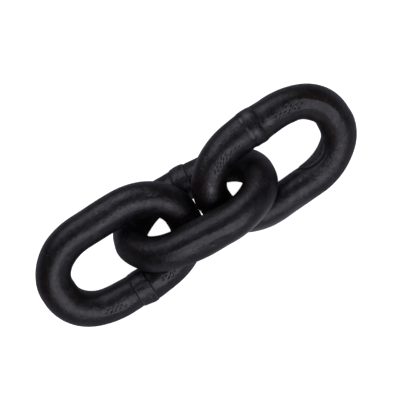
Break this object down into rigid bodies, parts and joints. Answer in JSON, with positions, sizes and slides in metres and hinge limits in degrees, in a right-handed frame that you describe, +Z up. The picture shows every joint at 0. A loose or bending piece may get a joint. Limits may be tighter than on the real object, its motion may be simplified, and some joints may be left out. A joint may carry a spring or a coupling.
{
  "type": "short link chain length",
  "caption": "Short length of heavy round steel chain, interlocked welded links lying slack, each with a collar where its bar is welded shut.",
  "frame": {"origin": "centre of the footprint, on the floor that the chain lies on", "axes": "+X along the chain from the left end link to the right one, +Z up"},
  "size_m": [0.1604, 0.0496, 0.0411],
  "materials": {
    "blackened_steel": "satin black"
  },
  "bodies": {
    "middle_link": {"middle_link": "blackened_steel"},
    "end_link_left": {"end_link_left": "blackened_steel"},
    "end_link_right": {"end_link_right": "blackened_steel"}
  },
  "joints": [
    {"name": "left_swing", "type": "hinge", "parent": "middle_link", "child": "end_link_left", "pos_m": [-0.03145, -0.00054, 0.01857], "axis": [-0.0951, 0.5549, -0.8265], "range_deg": [-90, 90]},
    {"name": "right_swing", "type": "hinge", "parent": "middle_link", "child": "end_link_right", "pos_m": [0.02864, -0.0018, 0.01987], "axis": [-0.0017, -0.6495, 0.7604], "range_deg": [-90, 90]}
  ]
}
